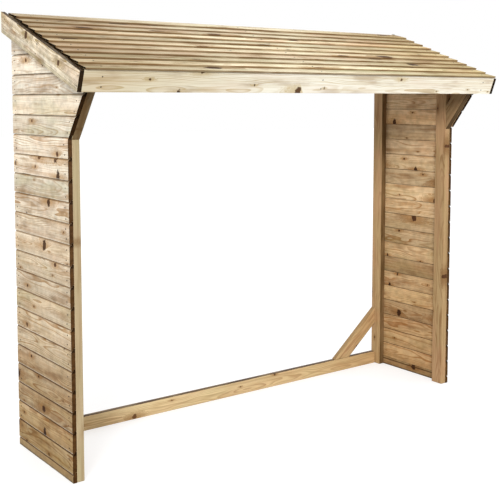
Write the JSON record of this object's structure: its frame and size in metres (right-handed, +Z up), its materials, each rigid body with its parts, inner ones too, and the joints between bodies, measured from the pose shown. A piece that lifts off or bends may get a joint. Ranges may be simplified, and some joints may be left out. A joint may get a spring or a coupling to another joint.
{
  "type": "open-fronted log store",
  "caption": "Free-standing timber log store, open at front and back, with boarded side walls that flare forward under a sloping roof of overlapping boards.",
  "frame": {"origin": "on the ground, under the middle of the store's overall box", "axes": "+Z up, -Y out of the open front, +Y towards the wall that the store backs on to, +X to the right as seen from the front"},
  "size_m": [2.224, 0.7442, 1.806],
  "materials": {
    "frame_timber": "planed pressure-treated softwood, tan, matt",
    "wall_boards": "sawn flush boards with a groove at each seam, cream to tan with dark knots, matt",
    "trim_boards": "planed pale softwood with a faint green treatment tint, matt",
    "roof_boards": "sawn overlap boards, tan with brown streaks, matt",
    "nails": "dull galvanised nail heads"
  },
  "bodies": {
    "root": {"left_front_post": "frame_timber", "right_front_post": "frame_timber", "left_back_post": "frame_timber", "right_back_post": "frame_timber", "rear_bottom_rail": "frame_timber", "rear_top_rail": "frame_timber", "right_brace": "frame_timber", "left_strut": "frame_timber", "right_strut": "frame_timber", "left_top_rail": "frame_timber", "right_top_rail": "frame_timber", "left_cladding": "wall_boards", "right_cladding": "wall_boards", "left_rafter": "frame_timber", "middle_rafter": "frame_timber", "right_rafter": "frame_timber", "roof_back_rail": "frame_timber", "left_barge_board": "trim_boards", "right_barge_board": "trim_boards", "fascia": "trim_boards", "roof_board_01": "roof_boards", "roof_board_02": "roof_boards", "roof_board_03": "roof_boards", "roof_board_04": "roof_boards", "roof_board_05": "roof_boards", "roof_board_06": "roof_boards", "roof_board_07": "roof_boards", "roof_board_08": "roof_boards", "roof_board_09": "roof_boards", "roof_board_10": "roof_boards", "roof_board_11": "roof_boards"}
  },
  "joints": []
}
